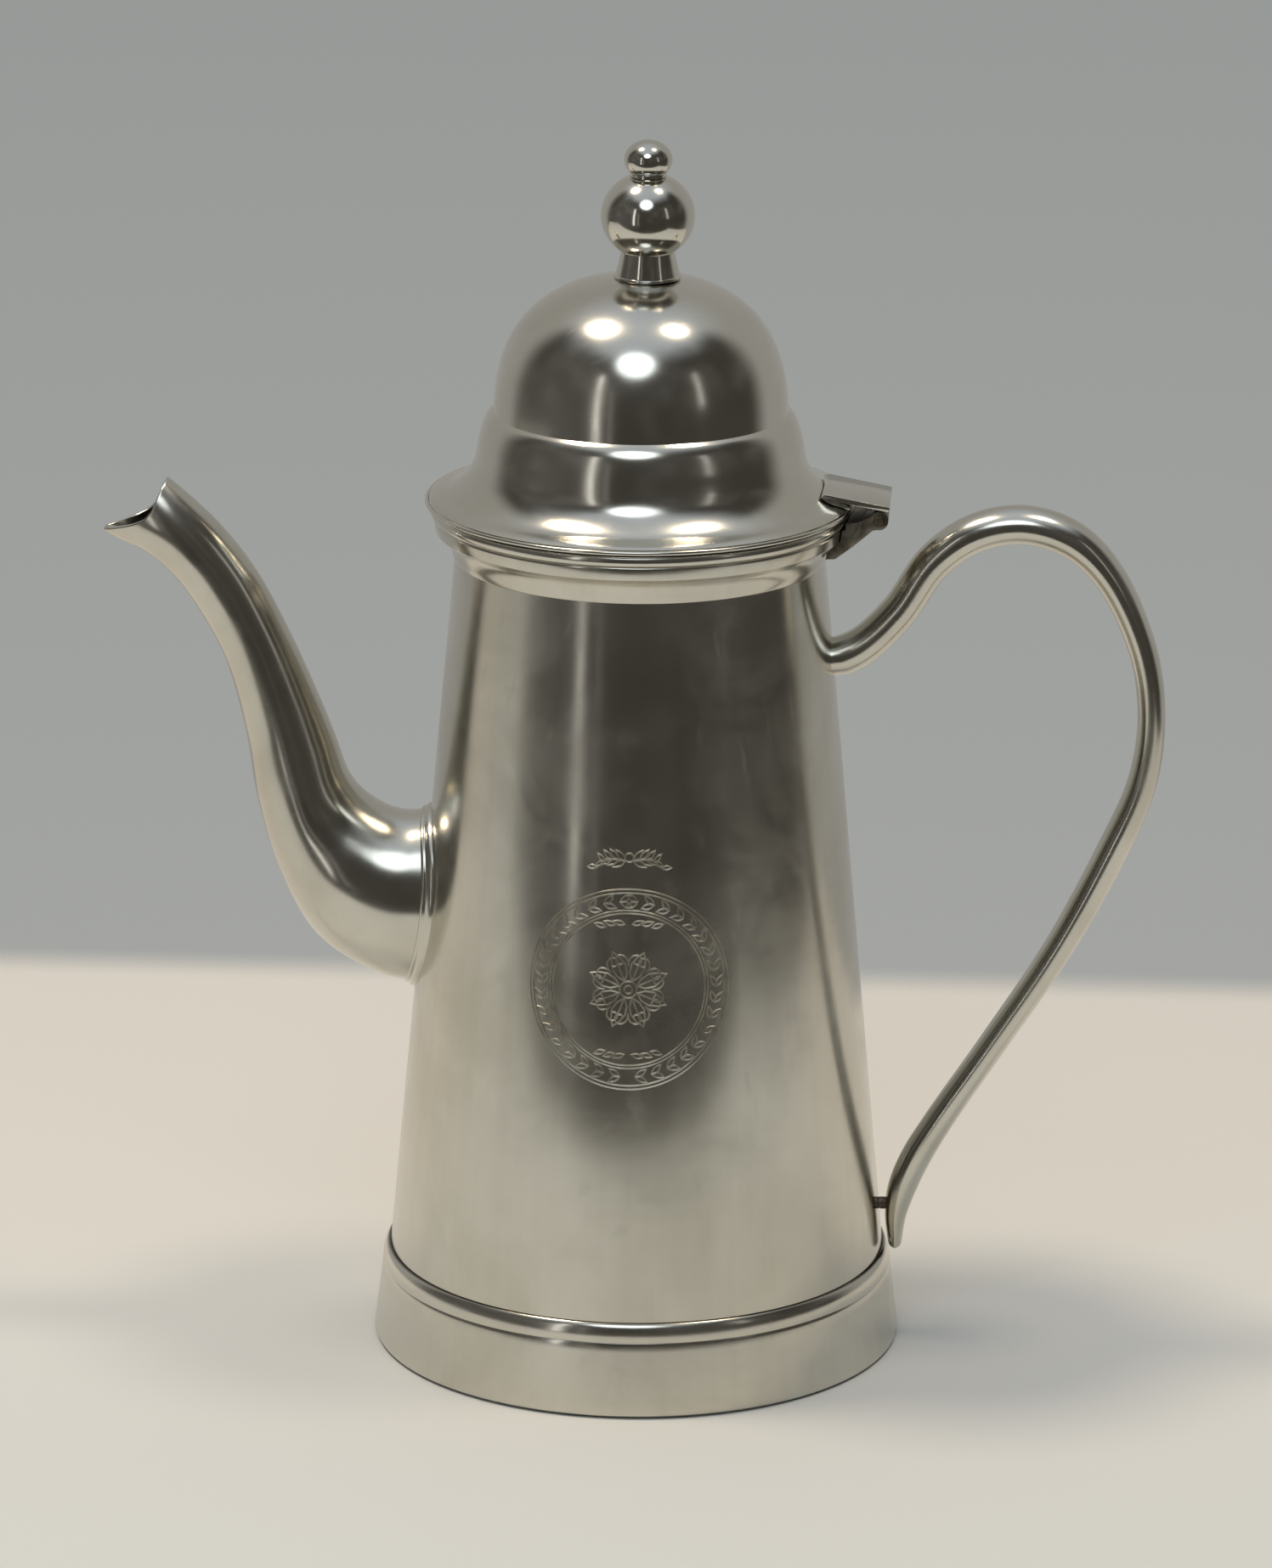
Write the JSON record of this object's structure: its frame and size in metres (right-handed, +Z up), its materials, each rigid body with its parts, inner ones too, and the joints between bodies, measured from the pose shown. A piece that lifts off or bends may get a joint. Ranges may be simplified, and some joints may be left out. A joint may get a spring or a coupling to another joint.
{
  "type": "coffee pot",
  "caption": "Tapered straight-sided silver coffee pot with a swan-neck spout, a loop handle and a hinged domed lid with a ball finial; free-standing on a flat ring foot.",
  "frame": {"origin": "centre of the circle that the foot stands on", "axes": "+Z up, the spout points to -X, the handle and hinge are on +X, and the pot is the same on both sides of the plane Y = 0"},
  "size_m": [0.2149, 0.108, 0.2503],
  "materials": {
    "satin_silver": "satin",
    "bright_silver": "polished with fine wear",
    "inner_silver": "dull plated",
    "darkened_pin": "tarnished"
  },
  "bodies": {
    "pot": {"body_shell": "satin_silver", "base_plate": "inner_silver", "foot_band": "satin_silver", "foot_bead": "bright_silver", "foot_rim": "inner_silver", "mouth_collar": "satin_silver", "mouth_bead": "bright_silver", "spout": "satin_silver", "spout_flange": "bright_silver", "handle": "satin_silver", "handle_stud": "darkened_pin", "hinge_body_leaf": "inner_silver", "hinge_pin": "darkened_pin"},
    "lid": {"hinge_lid_leaf": "satin_silver", "lid_dome": "bright_silver", "lid_rim": "bright_silver", "lid_bezel": "inner_silver", "finial_neck": "bright_silver", "finial_ball": "bright_silver", "finial_tip": "bright_silver", "finial_stud": "inner_silver", "finial_washer": "inner_silver", "finial_nut": "inner_silver"}
  },
  "joints": [
    {"name": "lid_hinge", "type": "hinge", "parent": "pot", "child": "lid", "pos_m": [0.0482, 0, 0.1754], "axis": [0, 1, 0], "range_deg": [0, 115]}
  ]
}
